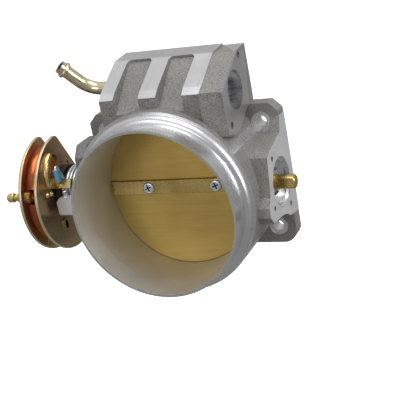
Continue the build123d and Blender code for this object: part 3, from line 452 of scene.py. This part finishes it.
# the leg's route as (y, z) in mm from the shaft axis: beside the coil's end, then outwards to its foot
LEG_LEVEL = [(-12.2, 12.4), (-13.0, 15.0), (-14.4, 18.0), (-15.9, 20.6)]
LEG_OUT = [(-17.2, 22.2), (-18.6, 22.4), (-19.35, 21.4), (-19.4, 19.8)]
LEG_FOOT = (-19.3, 13.2)
LEG_FOOT_X = leg_high.x - WIRE_R
LEG_STEPS = 5
TUBE_SIDES = 14


def smooth_path(points, steps):
    """Catmull-Rom curve through the points."""
    path = []
    for k in range(len(points) - 1):
        before, here = points[max(k - 1, 0)], points[k]
        there, after = points[k + 1], points[min(k + 2, len(points) - 1)]
        for step in range(steps):
            t = step / steps
            path.append(
                0.5
                * (
                    2 * here
                    + (there - before) * t
                    + (2 * before - 5 * here + 4 * there - after) * t**2
                    + (3 * here - before - 3 * there + after) * t**3
                )
            )
    path.append(points[-1])
    return path


def tube(name, path, radius, material):
    """Round wire along a path, closed at both ends."""
    points, faces = [], []
    across = Vector((0, 0, 1))
    for k, place in enumerate(path):
        along = (path[min(k + 1, len(path) - 1)] - path[max(k - 1, 0)]).normalized()
        across = (across - along * across.dot(along)).normalized()
        other = along.cross(across)
        for side in range(TUBE_SIDES):
            turn = tau * side / TUBE_SIDES
            points.append(place + across * (radius * cos(turn)) + other * (radius * sin(turn)))
    for k in range(len(path) - 1):
        for side in range(TUBE_SIDES):
            after = (side + 1) % TUBE_SIDES
            low, high = k * TUBE_SIDES, (k + 1) * TUBE_SIDES
            faces.append((low + side, low + after, high + after, high + side))
    faces.append(tuple(reversed(range(TUBE_SIDES))))
    faces.append(tuple(range(len(points) - TUBE_SIDES, len(points))))
    mesh = bpy.data.meshes.new(name)
    mesh.from_pydata(points, [], faces)
    mesh.materials.append(material)
    piece = bpy.data.objects.new(name, mesh)
    scene.collection.objects.link(piece)
    smooth(piece, angle=50)
    return piece


def round_shaft(x, radius, angle):
    """Point at a radius and angle about the shaft axis."""
    return Vector((x, SHAFT_Y + radius * cos(angle), radius * sin(angle)))


def beside_shaft(x, side):
    """Point at a (y, z) in mm from the shaft axis."""
    return Vector((x, SHAFT_Y + side[0] * MM, side[1] * MM))


def return_spring():
    """One wire: tail in the housing wall, coil round the guide, and the leg that bears on the stop tab."""
    first_angle = COIL_END_ANGLE + tau * COIL_TURNS
    tail = [round_shaft(COIL_START_X + reach, COIL_R, first_angle + TAIL_TURN) for reach in TAIL_REACHES]
    coil = []
    for step in range(COIL_STEPS + 1):
        part = step / COIL_STEPS
        x = COIL_START_X + (COIL_END_X - COIL_START_X) * part
        coil.append(round_shaft(x, COIL_R, COIL_END_ANGLE + tau * COIL_TURNS * (1 - part)))
    leg = [coil[-1]]
    leg += [beside_shaft(COIL_END_X, side) for side in LEG_LEVEL]
    for k, side in enumerate(LEG_OUT, start=1):
        leg.append(beside_shaft(COIL_END_X + (LEG_FOOT_X - COIL_END_X) * k / len(LEG_OUT), side))
    leg.append(beside_shaft(LEG_FOOT_X, LEG_FOOT))
    path = tail + coil + smooth_path(leg, LEG_STEPS)[1:]
    piece = tube("return_spring_wire", path, WIRE_R, SPRING)
    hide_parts("return_spring", "return_spring_leg")
    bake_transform(piece)


return_spring()

# ---------------------------------------------------------------- stage, lights and camera
FLOOR_DROP = 0.10
FLOOR_Z = cad_low.z - FLOOR_DROP
FLOOR_HALF = 8.0
FLOOR_GLOW = 0.75
WHITE = (1, 1, 1)
SKY_GREYS = [(0.30, 0.34), (0.55, 0.46), (0.95, 1.0)]
SKY_STRENGTH = 0.78
LIGHT_AIM = (0, -0.04, 0.01)
# each light's name, place, size in metres and watts
LIGHTS = [
    ("top_softbox", (0.1, -0.1, 0.9), (0.7, 0.5), 3.4),
    ("right_softbox", (0.9, -0.25, 0.3), (0.45, 0.7), 5.6),
    ("front_fill", (-0.3, -1.1, 0.3), (0.5, 0.5), 1.5),
]
CAMERA_PLACE = (0.2703, -0.5683, 0.2077)
CAMERA_AZIMUTH = radians(25.6)
CAMERA_ELEVATION = radians(19.85)
CAMERA_ROLL = radians(11.0)
SENSOR_WIDTH_MM = 36
FOCAL_LENGTH_MM = 91.0
CLIP_NEAR, CLIP_FAR = 0.01, 50


def floor():
    """Wide white floor that glows a little, so that the background stays white."""
    mesh = bpy.data.meshes.new("studio_floor")
    corners = [(-1, -1), (1, -1), (1, 1), (-1, 1)]
    points = [(FLOOR_HALF * x, FLOOR_HALF * y, FLOOR_Z) for x, y in corners]
    mesh.from_pydata(points, [], [(0, 1, 2, 3)])
    piece = bpy.data.objects.new("studio_floor", mesh)
    scene.collection.objects.link(piece)
    s = Surface("studio_floor_white", roughness=0.8, specular=0.1)
    s.colour((0.93, 0.93, 0.93))
    s.shader.inputs["Emission Color"].default_value = (*WHITE, 1)
    s.shader.inputs["Emission Strength"].default_value = FLOOR_GLOW
    mesh.materials.append(s.material)
    piece.visible_diffuse = False
    piece.visible_glossy = False


def soft_light(name, place, size, watts):
    """Large white area light at place, facing the throttle body."""
    data = bpy.data.lights.new(name, "AREA")
    data.shape = "RECTANGLE"
    data.size, data.size_y = size
    data.energy = watts
    data.color = WHITE
    lamp = bpy.data.objects.new(name, data)
    lamp.location = place
    lamp.rotation_mode = "QUATERNION"
    lamp.rotation_quaternion = (Vector(LIGHT_AIM) - Vector(place)).to_track_quat("-Z", "Y")
    scene.collection.objects.link(lamp)


def sky():
    """Grey below the horizon, brightening to white overhead."""
    world = bpy.data.worlds.new("studio_air")
    world.use_nodes = True
    tree = world.node_tree
    direction = tree.nodes.new("ShaderNodeTexCoord").outputs["Generated"]
    split = tree.nodes.new("ShaderNodeSeparateXYZ")
    height = tree.nodes.new("ShaderNodeMapRange")
    tree.links.new(direction, split.inputs["Vector"])
    tree.links.new(split.outputs["Z"], height.inputs["Value"])
    height.inputs["From Min"].default_value = -1
    height.inputs["From Max"].default_value = 1
    stops = [(position, (grey, grey, grey)) for position, grey in SKY_GREYS]
    background = tree.nodes["Background"]
    tree.links.new(ramp_node(tree, height.outputs["Result"], stops), background.inputs["Color"])
    background.inputs["Strength"].default_value = SKY_STRENGTH
    scene.world = world


def camera():
    """Camera from its azimuth, elevation and roll about the view axis."""
    flat = cos(CAMERA_ELEVATION)
    ahead = Vector((-sin(CAMERA_AZIMUTH) * flat, cos(CAMERA_AZIMUTH) * flat, -sin(CAMERA_ELEVATION)))
    level = ahead.cross(Vector((0, 0, 1))).normalized()
    upright = level.cross(ahead)
    up = upright * cos(CAMERA_ROLL) + level * sin(CAMERA_ROLL)
    right = ahead.cross(up)
    data = bpy.data.cameras.new("studio_camera")
    data.sensor_width = SENSOR_WIDTH_MM
    data.lens = FOCAL_LENGTH_MM
    data.clip_start = CLIP_NEAR
    data.clip_end = CLIP_FAR
    lens = bpy.data.objects.new("studio_camera", data)
    turn = Matrix((right, up, -ahead)).transposed()
    lens.matrix_world = Matrix.Translation(CAMERA_PLACE) @ turn.to_4x4()
    scene.collection.objects.link(lens)
    scene.camera = lens


floor()
sky()
for light in LIGHTS:
    soft_light(*light)
camera()
scene.view_settings.view_transform = "Standard"
